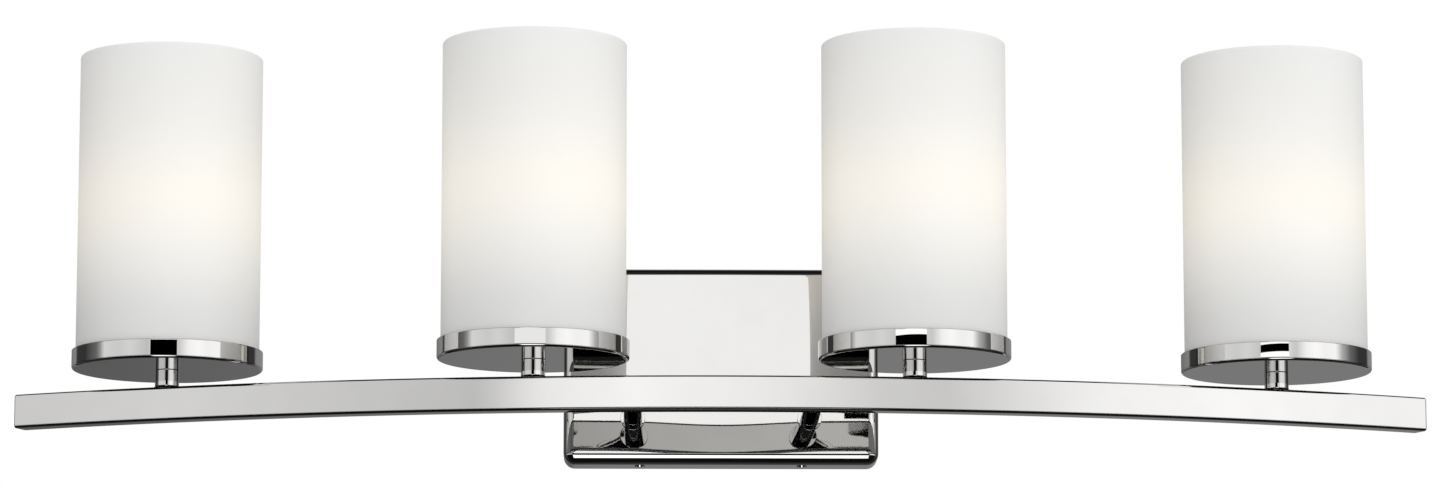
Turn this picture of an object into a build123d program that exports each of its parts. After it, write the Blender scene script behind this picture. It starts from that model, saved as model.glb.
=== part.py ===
from build123d import *
import os
from math import asin, cos, degrees, radians, sin

# Vanity light bar for a bathroom wall: a bowed square-edged bar on two arms carries four
# cylinder shades, each standing in a shallow round pan around its own lamp holder.
# Frame: X to the right along the wall, the front faces -Y, +Z up, millimetres.
# The origin is on the wall plane at the centre of the backplate.

# ---- backplate and its wall strap ----
PLATE_WIDTH = 178.5
PLATE_HEIGHT = 112.0
PLATE_DEPTH = 25.0
PLATE_WALL = 1.2
PLATE_CORNER_R = 6.5
PLATE_EDGE_R = 6.0
STRAP_WIDTH = 130.0
STRAP_THICK = 1.5
STRAP_CORNER_R = 4.0
STRAP_WIRE_HOLE_R = 18.0
EAR_WIDTH = 16.0
EAR_LENGTH = 20.0
EAR_GAP = 0.1
BOX_SLOT_SPACING = 88.9
BOX_SLOT_LENGTH = 16.0
BOX_SLOT_R = 2.3
ANCHOR_SPACING_X = 112.0
ANCHOR_SPACING_Z = 70.0
ANCHOR_HOLE_R = 2.5

# ---- cover screws and ground screw ----
COVER_SCREW_X = 46.0
COVER_SCREW_DEPTH = 12.0
COVER_SCREW_R = 1.7
COVER_SCREW_LENGTH = 8.0
COVER_HEAD_R = 2.9
COVER_HEAD_HEIGHT = 0.7
COVER_HOLE_R = 2.1
EAR_HOLE_R = 1.75
DRIVE_LENGTH = 3.4
DRIVE_WIDTH = 0.7
DRIVE_DEPTH = 0.5
GROUND_SCREW_X = 30.0
GROUND_SCREW_Z = -40.0
GROUND_SCREW_R = 1.9
GROUND_HEAD_R = 4.5
GROUND_HEAD_HEIGHT = 3.0
GROUND_HOLE_R = 1.95

# ---- bowed bar ----
BAR_HALF_WIDTH = 397.0
BAR_BOW = 88.0
BAR_FRONT = 131.0
BAR_DEPTH = 12.7
BAR_HEIGHT = 19.0
BAR_WALL = 1.5
BAR_EDGE_R = 1.6
BAR_INNER_R = 0.6
BAR_CENTRE_Z = -30.2
CAP_THICK = 1.5
CAP_PLUG_LENGTH = 6.0
CAP_PLUG_GAP = 0.15
CAP_EDGE_R = 0.4

# ---- arms ----
ARM_X = 50.0
ARM_R = 5.4
ARM_BORE_R = 2.8
SPIGOT_R = 4.0
SPIGOT_HOLE_R = 4.1
SPIGOT_REAR_LENGTH = 8.0
SPIGOT_FRONT_LENGTH = 4.8
ARM_COLLAR_R = 6.9
ARM_COLLAR_THICK = 2.0
ARM_COLLAR_EDGE_R = 0.4
BAR_COLLAR_R = 7.6
BAR_COLLAR_SINK = 1.0
ARM_NUT_R = 6.6
ARM_NUT_THICK = 2.5
ARM_WASHER_R = 7.6
ARM_WASHER_THICK = 1.0

# ---- lights along the bar ----
LIGHT_COUNT = 4
LIGHT_PITCH_DEG = 12.8
NIPPLE_R = 4.0
NIPPLE_BORE_R = 3.0
NIPPLE_HOLE_R = 4.05
NIPPLE_BELOW = 2.0
POST_R = 6.7
POST_FOOT_R = 7.6
POST_FOOT_HEIGHT = 1.0
POST_HEIGHT = 9.7
POST_EDGE_R = 0.3

# ---- pan that carries the shade ----
PAN_R = 53.0
PAN_HEIGHT = 10.6
PAN_WALL = 1.2
PAN_EDGE_R = 1.5
PAN_LIP_R = 0.4
PAN_NUT_R = 7.8
PAN_NUT_THICK = 2.5

# ---- glass shade ----
GLASS_R = 50.9
GLASS_WALL = 3.4
GLASS_FLOOR = 4.0
GLASS_TOP = 165.5
GLASS_HOLE_R = 21.5
GLASS_EDGE_R = 1.0
GASKET_R = 44.0
GASKET_THICK = 0.8
REST_GAP = 0.2

# ---- lamp holder, ring and lamp ----
SOCKET_R = 18.9
SOCKET_HEIGHT = 46.0
SOCKET_INNER_R = 14.6
SOCKET_FLOOR = 6.0
SOCKET_LIP_R = 0.8
SHELL_R = 14.5
SHELL_WALL = 0.6
SHELL_BOTTOM_ABOVE_FLOOR = 6.0
SHELL_BELOW_MOUTH = 1.0
CONTACT_FLANGE_R = 12.0
CONTACT_R = 5.2
CONTACT_SHEET = 0.9
CONTACT_HEIGHT = 6.4
RING_INNER_R = 19.2
RING_SKIRT_R = 22.5
RING_FLANGE_R = 27.0
RING_FLANGE_THICK = 2.2
RING_HEIGHT = 9.0
RING_KNURLS = 24
RING_KNURL_R = 0.8
LAMP_BASE_R = 13.1
LAMP_BASE_INNER_R = 11.8
LAMP_BASE_FLOOR = 1.5
LAMP_BASE_HEIGHT = 24.0
LAMP_THREAD_PITCH = 3.6
LAMP_THREAD_DEPTH = 0.7
LAMP_TIP_R = 4.5
LAMP_TIP_HEIGHT = 1.2
BULB_R = 30.0
BULB_CENTRE_ABOVE_TIP = 78.0
BULB_NECK_R = 11.6
BULB_NECK_ABOVE_BASE = 3.0
BULB_NECK_IN_BASE = 4.0
BULB_WALL = 0.8

# ---- wiring ----
LEAD_R = 0.8
LEAD_ARC_R = 0.95
LEAD_SPACING = 2.4
LEAD_FORWARD = 0.8
LEAD_TAIL_DEG = 0.6
LEAD_Z_OFFSET = 1.6
LEAD_BEND_R = 5.0
CONNECTOR_R = 5.0
CONNECTOR_TIP_R = 3.6
CONNECTOR_HEIGHT = 20.0
CONNECTOR_Z = 4.0
CONNECTOR_SPACING = 24.0
LEAD_DEPTH = 9.0
WHITE_LEAD_DEPTH = 13.0

# ---- worked-out heights and the bow ----
bow_radius = (BAR_HALF_WIDTH**2 + BAR_BOW**2) / (2 * BAR_BOW)
bow_centre_y = bow_radius - BAR_FRONT
bow_axis = Axis((0, bow_centre_y, 0), (0, 0, 1))
end_angle = degrees(asin(BAR_HALF_WIDTH / (bow_radius + BAR_DEPTH / 2)))
cap_angle = degrees(CAP_THICK / bow_radius)
tube_angle = end_angle - cap_angle
bar_top = BAR_CENTRE_Z + BAR_HEIGHT / 2
pan_bottom = bar_top + POST_HEIGHT
pan_floor = pan_bottom + PAN_WALL
glass_bottom = pan_floor + GASKET_THICK + REST_GAP
glass_floor = glass_bottom + GLASS_FLOOR
socket_top = pan_floor + SOCKET_HEIGHT
socket_floor = pan_floor + SOCKET_FLOOR
ring_bottom = glass_floor + REST_GAP
lamp_tip = socket_floor + CONTACT_HEIGHT + REST_GAP
base_bottom = lamp_tip + LAMP_TIP_HEIGHT
base_top = base_bottom + LAMP_BASE_HEIGHT
bulb_centre = lamp_tip + BULB_CENTRE_ABOVE_TIP
light_angles = [LIGHT_PITCH_DEG * (i - (LIGHT_COUNT - 1) / 2) for i in range(LIGHT_COUNT)]
arm_places = [(-ARM_X, BAR_CENTRE_Z), (ARM_X, BAR_CENTRE_Z)]

os.makedirs("parts", exist_ok=True)


def save(builder, name):
    """Label a finished piece and write it as its own STEP file."""
    builder.part.label = name
    export_step(builder.part, f"parts/{name}.step")


def bow_point(angle, height, radial=0.0):
    """A point on the bar's bowed line, seen from above, at an angle from the middle."""
    radius = bow_radius + radial
    turn = radians(angle)
    return Vector(radius * sin(turn), bow_centre_y - radius * cos(turn), height)


def flat_plane(angle, height):
    """A level plane on the bar's line, facing up, with its x direction along the bar."""
    turn = radians(angle)
    return Plane(bow_point(angle, height), x_dir=(cos(turn), sin(turn), 0), z_dir=(0, 0, 1))


def section_plane(angle):
    """A plane across the bar: x is outward to the front, y is up."""
    turn = radians(angle)
    origin = bow_point(angle, BAR_CENTRE_Z)
    return Plane(origin, x_dir=(sin(turn), -cos(turn), 0), z_dir=(-cos(turn), -sin(turn), 0))


def front_plane(depth):
    """A plane parallel to the wall at a depth in front of it, facing the front."""
    return Plane.XZ.offset(depth)


# ---- backplate: a pressed pan, open at the wall ----
with BuildPart() as backplate:
    with BuildSketch(front_plane(0)):
        RectangleRounded(PLATE_WIDTH, PLATE_HEIGHT, PLATE_CORNER_R)
    extrude(amount=PLATE_DEPTH)
    fillet(backplate.faces().sort_by(Axis.Y)[0].edges(), radius=PLATE_EDGE_R)
    offset(amount=-PLATE_WALL, openings=backplate.faces().sort_by(Axis.Y)[-1])
    with BuildSketch(front_plane(PLATE_DEPTH)):
        with Locations(*arm_places):
            Circle(SPIGOT_HOLE_R)
    extrude(amount=-2 * PLATE_WALL, mode=Mode.SUBTRACT)
    with BuildSketch(Plane.XY):
        with GridLocations(2 * COVER_SCREW_X, 1, 2, 1):
            with Locations((0, -COVER_SCREW_DEPTH)):
                Circle(COVER_HOLE_R)
    extrude(amount=-PLATE_HEIGHT, mode=Mode.SUBTRACT)
save(backplate, "backplate")

# ---- wall strap: a flat plate with four ears bent forward inside the pan ----
ear_outer_z = PLATE_HEIGHT / 2 - PLATE_WALL - EAR_GAP
with BuildPart() as wall_strap:
    with BuildSketch(front_plane(0)):
        RectangleRounded(STRAP_WIDTH, 2 * ear_outer_z, STRAP_CORNER_R)
        Circle(STRAP_WIRE_HOLE_R, mode=Mode.SUBTRACT)
        with GridLocations(BOX_SLOT_SPACING, 1, 2, 1):
            SlotOverall(BOX_SLOT_LENGTH, 2 * BOX_SLOT_R, mode=Mode.SUBTRACT)
        with GridLocations(ANCHOR_SPACING_X, ANCHOR_SPACING_Z, 2, 2):
            Circle(ANCHOR_HOLE_R, mode=Mode.SUBTRACT)
        with Locations((GROUND_SCREW_X, GROUND_SCREW_Z)):
            Circle(GROUND_HOLE_R, mode=Mode.SUBTRACT)
    extrude(amount=STRAP_THICK)
    with BuildSketch(front_plane(0)):
        with GridLocations(2 * COVER_SCREW_X, 2 * ear_outer_z - STRAP_THICK, 2, 2):
            Rectangle(EAR_WIDTH, STRAP_THICK)
    extrude(amount=EAR_LENGTH)
    with BuildSketch(Plane.XY):
        with GridLocations(2 * COVER_SCREW_X, 1, 2, 1):
            with Locations((0, -COVER_SCREW_DEPTH)):
                Circle(EAR_HOLE_R)
    extrude(amount=-PLATE_HEIGHT, mode=Mode.SUBTRACT)
save(wall_strap, "wall_strap")

# ---- cover screws: two small cross-drive screws through the underside of the pan ----
with BuildPart() as cover_screws:
    for side in (-1, 1):
        seat = Plane(
            (side * COVER_SCREW_X, -COVER_SCREW_DEPTH, -PLATE_HEIGHT / 2),
            x_dir=(1, 0, 0),
            z_dir=(0, 0, -1),
        )
        with BuildSketch(seat):
            Circle(COVER_HEAD_R)
        extrude(amount=COVER_HEAD_HEIGHT, taper=12)
        with BuildSketch(seat):
            Circle(COVER_SCREW_R)
        extrude(amount=-COVER_SCREW_LENGTH)
        with BuildSketch(seat.offset(COVER_HEAD_HEIGHT)):
            Rectangle(DRIVE_LENGTH, DRIVE_WIDTH)
            Rectangle(DRIVE_WIDTH, DRIVE_LENGTH)
        extrude(amount=-DRIVE_DEPTH, mode=Mode.SUBTRACT)
save(cover_screws, "cover_screws")

# ---- ground screw in the strap ----
with BuildPart() as ground_screw:
    with BuildSketch(front_plane(0)):
        with Locations((GROUND_SCREW_X, GROUND_SCREW_Z)):
            Circle(GROUND_SCREW_R)
    extrude(amount=STRAP_THICK)
    with BuildSketch(front_plane(STRAP_THICK)):
        with Locations((GROUND_SCREW_X, GROUND_SCREW_Z)):
            RegularPolygon(GROUND_HEAD_R, 6)
    extrude(amount=GROUND_HEAD_HEIGHT)
    with BuildSketch(front_plane(STRAP_THICK + GROUND_HEAD_HEIGHT)):
        with Locations((GROUND_SCREW_X, GROUND_SCREW_Z)):
            Rectangle(2 * GROUND_SCREW_R * 1.6, DRIVE_WIDTH)
    extrude(amount=-DRIVE_DEPTH, mode=Mode.SUBTRACT)
save(ground_screw, "ground_screw")

# ---- bar: a rectangular tube bent to one long arc in plan ----
with BuildPart() as bar_envelope:
    with BuildSketch(section_plane(-tube_angle)):
        RectangleRounded(BAR_DEPTH, BAR_HEIGHT, BAR_EDGE_R)
    revolve(axis=bow_axis, revolution_arc=2 * tube_angle)

with BuildPart() as bar:
    with BuildSketch(section_plane(-tube_angle)):
        RectangleRounded(BAR_DEPTH, BAR_HEIGHT, BAR_EDGE_R)
        RectangleRounded(
            BAR_DEPTH - 2 * BAR_WALL, BAR_HEIGHT - 2 * BAR_WALL, BAR_INNER_R, mode=Mode.SUBTRACT
        )
    revolve(axis=bow_axis, revolution_arc=2 * tube_angle)
    for angle in light_angles:
        with BuildSketch(flat_plane(angle, bar_top)):
            Circle(NIPPLE_HOLE_R)
        extrude(amount=-2 * BAR_WALL, mode=Mode.SUBTRACT)
    with BuildSketch(front_plane(BAR_FRONT)):
        with Locations(*arm_places):
            Circle(SPIGOT_HOLE_R)
    extrude(amount=-BAR_DEPTH, mode=Mode.SUBTRACT)
save(bar, "bar")

# ---- end caps of the bar: a flat lid with a plug ----
plug_depth = BAR_DEPTH - 2 * BAR_WALL - 2 * CAP_PLUG_GAP
plug_height = BAR_HEIGHT - 2 * BAR_WALL - 2 * CAP_PLUG_GAP
for name, side in (("bar_end_cap_left", -1), ("bar_end_cap_right", 1)):
    face = section_plane(side * tube_angle)
    with BuildPart() as bar_end_cap:
        with BuildSketch(face):
            RectangleRounded(BAR_DEPTH, BAR_HEIGHT, BAR_EDGE_R)
        extrude(amount=-side * CAP_THICK)
        outer_face = bar_end_cap.faces().sort_by(Axis.X)[0 if side < 0 else -1]
        fillet(outer_face.edges(), radius=CAP_EDGE_R)
        with BuildSketch(face):
            RectangleRounded(plug_depth, plug_height, BAR_INNER_R)
        extrude(amount=side * CAP_PLUG_LENGTH)
    save(bar_end_cap, name)

# ---- arms: round tubes from the backplate to the back of the bar ----
arm_angle = degrees(asin(ARM_X / bow_radius))
bar_rear_depth = -bow_point(arm_angle, 0, -BAR_DEPTH / 2).Y
for name, side in (("arm_left", -1), ("arm_right", 1)):
    with BuildPart() as arm:
        with BuildSketch(front_plane(PLATE_DEPTH)):
            with Locations((side * ARM_X, BAR_CENTRE_Z)):
                Circle(ARM_R)
        extrude(amount=BAR_FRONT - PLATE_DEPTH)
        add(bar_envelope.part, mode=Mode.SUBTRACT)
        with BuildSketch(front_plane(PLATE_DEPTH - SPIGOT_REAR_LENGTH)):
            with Locations((side * ARM_X, BAR_CENTRE_Z)):
                Circle(SPIGOT_R)
        extrude(amount=bar_rear_depth + SPIGOT_FRONT_LENGTH - PLATE_DEPTH + SPIGOT_REAR_LENGTH)
        with BuildSketch(front_plane(0)):
            with Locations((side * ARM_X, BAR_CENTRE_Z)):
                Circle(ARM_BORE_R)
        extrude(amount=BAR_FRONT, mode=Mode.SUBTRACT)
    save(arm, name)

# ---- collars on both ends of each arm, washers and lock nuts ----
with BuildPart() as arm_collars:
    with BuildSketch(front_plane(PLATE_DEPTH)):
        with Locations(*arm_places):
            Circle(ARM_COLLAR_R)
    extrude(amount=ARM_COLLAR_THICK)
    fillet(arm_collars.faces().group_by(Axis.Y)[0].edges(), radius=ARM_COLLAR_EDGE_R)
    with BuildSketch(front_plane(bar_rear_depth - ARM_COLLAR_THICK)):
        with Locations(*arm_places):
            Circle(BAR_COLLAR_R)
    extrude(amount=ARM_COLLAR_THICK + BAR_COLLAR_SINK)
    fillet(arm_collars.faces().filter_by(Axis.Y).group_by(Axis.Y)[1].edges(), radius=ARM_COLLAR_EDGE_R)
    add(bar_envelope.part, mode=Mode.SUBTRACT)
    with BuildSketch(front_plane(PLATE_DEPTH)):
        with Locations(*arm_places):
            Circle(ARM_R)
    extrude(amount=BAR_FRONT, mode=Mode.SUBTRACT)
save(arm_collars, "arm_collars")

plate_inside = PLATE_DEPTH - PLATE_WALL
with BuildPart() as arm_washers:
    with BuildSketch(front_plane(plate_inside)):
        with Locations(*arm_places):
            Circle(ARM_WASHER_R)
            Circle(SPIGOT_R, mode=Mode.SUBTRACT)
    extrude(amount=-ARM_WASHER_THICK)
save(arm_washers, "arm_washers")

inner_nut_depth = bar_rear_depth + BAR_WALL + CAP_EDGE_R
with BuildPart() as arm_nuts:
    with BuildSketch(front_plane(plate_inside - ARM_WASHER_THICK)):
        with Locations(*arm_places):
            RegularPolygon(ARM_NUT_R, 6)
            Circle(SPIGOT_R, mode=Mode.SUBTRACT)
    extrude(amount=-ARM_NUT_THICK)
    with BuildSketch(front_plane(inner_nut_depth)):
        with Locations(*arm_places):
            RegularPolygon(ARM_NUT_R, 6)
            Circle(SPIGOT_R, mode=Mode.SUBTRACT)
    extrude(amount=ARM_NUT_THICK)
save(arm_nuts, "arm_nuts")

# ---- threaded nipples that hold each light on the bar, and their nuts in the pans ----
nipple_bottom = bar_top - BAR_WALL - NIPPLE_BELOW
nipple_top = socket_floor
with BuildPart() as nipples:
    for angle in light_angles:
        with BuildSketch(flat_plane(angle, nipple_bottom)):
            Circle(NIPPLE_R)
            Circle(NIPPLE_BORE_R, mode=Mode.SUBTRACT)
        extrude(amount=nipple_top - nipple_bottom)
save(nipples, "nipples")

with BuildPart() as pan_nuts:
    for angle in light_angles:
        with BuildSketch(flat_plane(angle, pan_floor)):
            RegularPolygon(PAN_NUT_R, 6)
            Circle(NIPPLE_HOLE_R, mode=Mode.SUBTRACT)
        extrude(amount=PAN_NUT_THICK)
save(pan_nuts, "pan_nuts")

with BuildPart() as centre_contacts:
    for angle in light_angles:
        with BuildSketch(flat_plane(angle, socket_floor)):
            Circle(CONTACT_FLANGE_R)
            Circle(NIPPLE_HOLE_R, mode=Mode.SUBTRACT)
        extrude(amount=CONTACT_SHEET)
        with BuildSketch(flat_plane(angle, socket_floor + CONTACT_SHEET)):
            Circle(CONTACT_R)
            Circle(NIPPLE_HOLE_R, mode=Mode.SUBTRACT)
        extrude(amount=CONTACT_HEIGHT - 2 * CONTACT_SHEET)
        with BuildSketch(flat_plane(angle, socket_floor + CONTACT_HEIGHT - CONTACT_SHEET)):
            Circle(CONTACT_R)
        extrude(amount=CONTACT_SHEET)
save(centre_contacts, "centre_contacts")


def make_post(name, angle):
    """Round post from the bar to the pan, with a small spreading foot."""
    with BuildPart() as post:
        with BuildSketch(flat_plane(angle, bar_top)):
            Circle(POST_R)
        extrude(amount=POST_HEIGHT)
        fillet(post.faces().sort_by(Axis.Z)[-1].edges(), radius=POST_EDGE_R)
        with BuildSketch(flat_plane(angle, bar_top)):
            Circle(POST_FOOT_R)
        with BuildSketch(flat_plane(angle, bar_top + POST_FOOT_HEIGHT)):
            Circle(POST_R)
        loft()
        with BuildSketch(flat_plane(angle, bar_top)):
            Circle(NIPPLE_HOLE_R)
        extrude(amount=POST_HEIGHT, mode=Mode.SUBTRACT)
    save(post, name)


def make_pan(name, angle):
    """Shallow round pan with a straight rim, softly rounded where it meets its floor."""
    with BuildPart() as pan:
        with BuildSketch(flat_plane(angle, pan_bottom)):
            Circle(PAN_R)
        extrude(amount=PAN_HEIGHT)
        fillet(pan.faces().sort_by(Axis.Z)[0].edges(), radius=PAN_EDGE_R)
        with BuildSketch(flat_plane(angle, pan_floor)):
            Circle(PAN_R - PAN_WALL)
        extrude(amount=PAN_HEIGHT, mode=Mode.SUBTRACT)
        fillet(pan.faces().sort_by(Axis.Z)[-1].edges(), radius=PAN_LIP_R)
        with BuildSketch(flat_plane(angle, pan_bottom)):
            Circle(NIPPLE_HOLE_R)
        extrude(amount=PAN_WALL, mode=Mode.SUBTRACT)
    save(pan, name)


def make_socket(name, angle):
    """Moulded lamp holder: a deep cup with a recess for the pan nut under its floor."""
    with BuildPart() as socket:
        with BuildSketch(flat_plane(angle, pan_floor)):
            Circle(SOCKET_R)
        extrude(amount=SOCKET_HEIGHT)
        with BuildSketch(flat_plane(angle, socket_floor)):
            Circle(SOCKET_INNER_R)
        extrude(amount=SOCKET_HEIGHT, mode=Mode.SUBTRACT)
        fillet(socket.faces().sort_by(Axis.Z)[-1].edges(), radius=SOCKET_LIP_R)
        with BuildSketch(flat_plane(angle, pan_floor)):
            Circle(PAN_NUT_R + REST_GAP)
        extrude(amount=PAN_NUT_THICK + REST_GAP, mode=Mode.SUBTRACT)
        with BuildSketch(flat_plane(angle, pan_floor)):
            Circle(NIPPLE_HOLE_R)
        extrude(amount=SOCKET_FLOOR, mode=Mode.SUBTRACT)
    save(socket, name)


def make_screw_shell(name, angle):
    """Thin metal shell that lines the lamp holder."""
    bottom = socket_floor + SHELL_BOTTOM_ABOVE_FLOOR
    with BuildPart() as screw_shell:
        with BuildSketch(flat_plane(angle, bottom)):
            Circle(SHELL_R)
            Circle(SHELL_R - SHELL_WALL, mode=Mode.SUBTRACT)
        extrude(amount=socket_top - SHELL_BELOW_MOUTH - bottom)
    save(screw_shell, name)


def make_gasket(name, angle):
    """Flat ring under the glass."""
    with BuildPart() as gasket:
        with BuildSketch(flat_plane(angle, pan_floor + REST_GAP)):
            Circle(GASKET_R)
            Circle(GLASS_HOLE_R, mode=Mode.SUBTRACT)
        extrude(amount=GASKET_THICK)
    save(gasket, name)


def make_glass_shade(name, angle):
    """Straight glass cylinder, open at the top, with a hole in its floor."""
    with BuildPart() as glass_shade:
        with BuildSketch(flat_plane(angle, glass_bottom)):
            Circle(GLASS_R)
        extrude(amount=GLASS_TOP - glass_bottom)
        with BuildSketch(flat_plane(angle, glass_floor)):
            Circle(GLASS_R - GLASS_WALL)
        extrude(amount=GLASS_TOP - glass_floor, mode=Mode.SUBTRACT)
        fillet(glass_shade.faces().sort_by(Axis.Z)[-1].edges(), radius=GLASS_EDGE_R)
        fillet(glass_shade.faces().sort_by(Axis.Z)[0].edges(), radius=GLASS_EDGE_R)
        with BuildSketch(flat_plane(angle, glass_bottom)):
            Circle(GLASS_HOLE_R)
        extrude(amount=GLASS_FLOOR, mode=Mode.SUBTRACT)
    save(glass_shade, name)


def make_socket_ring(name, angle):
    """Ring that screws down the holder and clamps the glass floor."""
    with BuildPart() as socket_ring:
        with BuildSketch(flat_plane(angle, ring_bottom)):
            Circle(RING_SKIRT_R)
            with PolarLocations(RING_SKIRT_R, RING_KNURLS):
                Circle(RING_KNURL_R, mode=Mode.SUBTRACT)
        extrude(amount=RING_HEIGHT)
        with BuildSketch(flat_plane(angle, ring_bottom)):
            Circle(RING_FLANGE_R)
        extrude(amount=RING_FLANGE_THICK)
        with BuildSketch(flat_plane(angle, ring_bottom)):
            Circle(RING_INNER_R)
        extrude(amount=RING_HEIGHT, mode=Mode.SUBTRACT)
    save(socket_ring, name)


def upright_plane(angle, height):
    """A plane through a light's axis: x is outward from the axis, y is up."""
    return Plane(bow_point(angle, height), x_dir=(1, 0, 0), z_dir=(0, -1, 0))


def light_axis(angle):
    """The upright axis of one light."""
    return Axis(bow_point(angle, 0), (0, 0, 1))


def make_lamp_base(name, angle):
    """Hollow screw base with a rounded thread and a raised tip."""
    turns = int(LAMP_BASE_HEIGHT // LAMP_THREAD_PITCH)
    root_r = LAMP_BASE_R - LAMP_THREAD_DEPTH
    with BuildPart() as lamp_base:
        with BuildSketch(upright_plane(angle, base_bottom)):
            with BuildLine():
                Line((0, -LAMP_TIP_HEIGHT), (LAMP_TIP_R, -LAMP_TIP_HEIGHT))
                Line((LAMP_TIP_R, -LAMP_TIP_HEIGHT), (root_r, 0))
                for turn in range(turns):
                    start = turn * LAMP_THREAD_PITCH
                    middle = start + LAMP_THREAD_PITCH / 2
                    finish = start + LAMP_THREAD_PITCH
                    ThreePointArc((root_r, start), (LAMP_BASE_R, middle), (root_r, finish))
                Line((root_r, turns * LAMP_THREAD_PITCH), (root_r, LAMP_BASE_HEIGHT))
                Line((root_r, LAMP_BASE_HEIGHT), (0, LAMP_BASE_HEIGHT))
                Line((0, LAMP_BASE_HEIGHT), (0, -LAMP_TIP_HEIGHT))
            make_face()
        revolve(axis=light_axis(angle))
        with BuildSketch(flat_plane(angle, base_bottom + LAMP_BASE_FLOOR)):
            Circle(LAMP_BASE_INNER_R)
        extrude(amount=LAMP_BASE_HEIGHT, mode=Mode.SUBTRACT)
    save(lamp_base, name)


def bulb_outline(inward):
    """Half outline of the bulb about its axis, drawn inward by a wall thickness."""
    neck_r = BULB_NECK_R - inward
    ball_r = BULB_R - inward
    neck_top = base_top + BULB_NECK_ABOVE_BASE
    rise = bulb_centre - neck_top
    hollow_r = (BULB_NECK_R**2 + rise**2 - BULB_R**2) / (2 * (BULB_R - BULB_NECK_R))
    share = ball_r / (BULB_R + hollow_r)
    meet = ((BULB_NECK_R + hollow_r) * share, bulb_centre - rise * share)
    foot = base_top - BULB_NECK_IN_BASE
    Line((neck_r, foot), (neck_r, neck_top))
    shoulder = TangentArc((neck_r, neck_top), meet, tangent=(0, 1))
    TangentArc(meet, (0, bulb_centre + ball_r), tangent=shoulder % 1)
    Line((0, bulb_centre + ball_r), (0, foot))
    Line((0, foot), (neck_r, foot))


def make_lamp_glass(name, angle):
    """Hollow glass bulb: a ball that narrows to a neck in the screw base."""
    with BuildPart() as lamp_glass:
        with BuildSketch(upright_plane(angle, 0)):
            with BuildLine():
                bulb_outline(0)
            make_face()
        revolve(axis=light_axis(angle))
        with BuildSketch(upright_plane(angle, 0)):
            with BuildLine():
                bulb_outline(BULB_WALL)
            make_face()
        revolve(axis=light_axis(angle), mode=Mode.SUBTRACT)
    save(lamp_glass, name)


for number, angle in enumerate(light_angles, start=1):
    make_post(f"post_{number}", angle)
    make_pan(f"pan_{number}", angle)
    make_socket(f"socket_{number}", angle)
    make_screw_shell(f"screw_shell_{number}", angle)
    make_gasket(f"gasket_{number}", angle)
    make_glass_shade(f"glass_shade_{number}", angle)
    make_socket_ring(f"socket_ring_{number}", angle)
    make_lamp_base(f"lamp_base_{number}", angle)
    make_lamp_glass(f"lamp_glass_{number}", angle)

# ---- leads: one run inside the bar, a riser into every holder, out through the left arm ----
lead_top = socket_floor - LEAD_R
outer_angle = light_angles[-1] + LEAD_TAIL_DEG


def make_lead(name, radial, height, depth, connector_x):
    """One conductor from all the holders to its connector behind the backplate."""
    gate_y = bow_point(arm_angle, 0, radial).Y
    with BuildPart() as lead:
        with BuildSketch(section_plane(-outer_angle)):
            with Locations((radial, height - BAR_CENTRE_Z)):
                Circle(LEAD_ARC_R)
        revolve(axis=bow_axis, revolution_arc=2 * outer_angle)
        for angle in light_angles:
            riser = Plane(bow_point(angle, height, radial), z_dir=(0, 0, 1))
            with BuildSketch(riser):
                Circle(LEAD_R)
            extrude(amount=lead_top - height)
        with BuildLine() as route:
            FilletPolyline(
                (-ARM_X, gate_y, height),
                (-ARM_X, -depth, height),
                (connector_x, -depth, height + LEAD_BEND_R),
                (connector_x, -depth, CONNECTOR_Z),
                radius=LEAD_BEND_R,
            )
        with BuildSketch(Plane(route.line @ 0, z_dir=route.line % 0)):
            Circle(LEAD_R)
        sweep(path=route.line)
    save(lead, name)


upper_z = BAR_CENTRE_Z + LEAD_Z_OFFSET
lower_z = BAR_CENTRE_Z - LEAD_Z_OFFSET
front_lead = LEAD_FORWARD + LEAD_SPACING / 2
rear_lead = LEAD_FORWARD - LEAD_SPACING / 2
make_lead("lead_black", front_lead, upper_z, LEAD_DEPTH, -CONNECTOR_SPACING / 2)
make_lead("lead_white", rear_lead, lower_z, WHITE_LEAD_DEPTH, CONNECTOR_SPACING / 2)

# ---- ground wire from the ground screw to its connector ----
ground_x = 1.5 * CONNECTOR_SPACING
ground_start = STRAP_THICK + GROUND_HEAD_HEIGHT + LEAD_R
with BuildPart() as ground_wire:
    with BuildLine() as ground_route:
        FilletPolyline(
            (GROUND_SCREW_X, -ground_start, GROUND_SCREW_Z - LEAD_BEND_R),
            (GROUND_SCREW_X, -ground_start, GROUND_SCREW_Z + 2 * LEAD_BEND_R),
            (ground_x, -LEAD_DEPTH, -3 * LEAD_BEND_R),
            (ground_x, -LEAD_DEPTH, CONNECTOR_Z),
            radius=LEAD_BEND_R,
        )
    with BuildSketch(Plane(ground_route.line @ 0, z_dir=ground_route.line % 0)):
        Circle(LEAD_R)
    sweep(path=ground_route.line)
save(ground_wire, "ground_wire")

# ---- twist-on connectors on the ends of the three leads ----
connector_places = [
    (-CONNECTOR_SPACING / 2, -LEAD_DEPTH),
    (CONNECTOR_SPACING / 2, -WHITE_LEAD_DEPTH),
    (ground_x, -LEAD_DEPTH),
]
with BuildPart() as wire_connectors:
    for place in connector_places:
        with BuildSketch(Plane.XY.offset(CONNECTOR_Z)):
            with Locations(place):
                Circle(CONNECTOR_R)
        with BuildSketch(Plane.XY.offset(CONNECTOR_Z + CONNECTOR_HEIGHT)):
            with Locations(place):
                Circle(CONNECTOR_TIP_R)
        loft()
save(wire_connectors, "wire_connectors")
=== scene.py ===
from math import asin, atan2, cos, degrees, hypot, pi, radians, sin

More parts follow.
